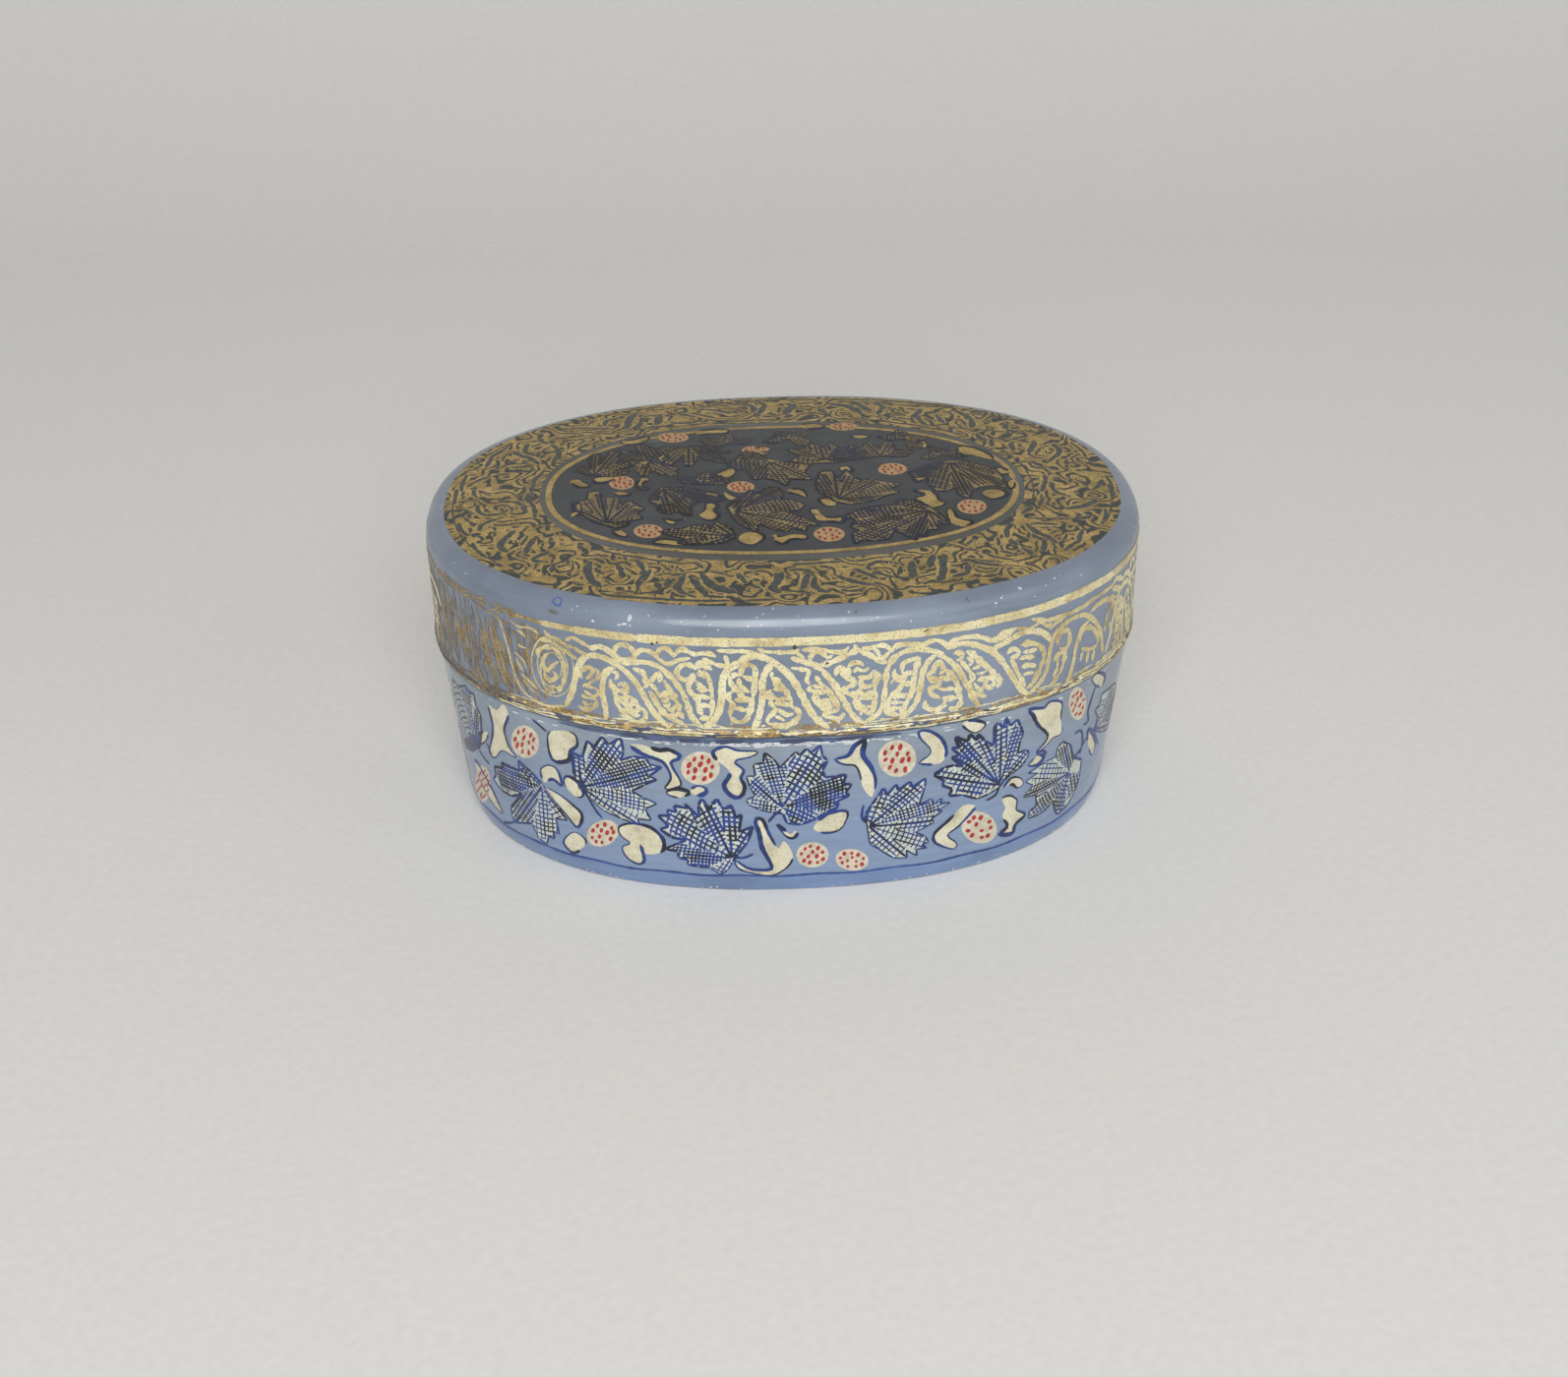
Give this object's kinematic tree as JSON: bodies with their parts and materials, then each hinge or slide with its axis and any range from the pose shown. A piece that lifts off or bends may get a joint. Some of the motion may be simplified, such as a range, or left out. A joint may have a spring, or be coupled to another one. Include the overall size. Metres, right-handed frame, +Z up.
{
  "type": "lidded trinket box",
  "caption": "Oval papier-mache keepsake box with a tapered body, an inner collar and a slightly domed lift-off lid.",
  "frame": {"origin": "middle of the flat underside, on the surface that the box stands on", "axes": "+X along the oval's length, +Y across it, +Z up through the lid"},
  "size_m": [0.1016, 0.0772, 0.0459],
  "materials": {
    "lacquer_ground": "clear lacquer over paint on papier-mache",
    "painted_lid": "clear lacquer over gold paint on papier-mache",
    "black_lining": "satin black paint on papier-mache"
  },
  "bodies": {
    "base": {"base_panel": "lacquer_ground", "body_wall": "lacquer_ground", "locating_collar": "black_lining"},
    "lid": {"lid_skirt": "painted_lid", "lid_top_panel": "painted_lid"}
  },
  "joints": [
    {"name": "lid_lift", "type": "slide", "parent": "base", "child": "lid", "axis": [0, 0, 1], "range_m": [0, 0.05]}
  ]
}
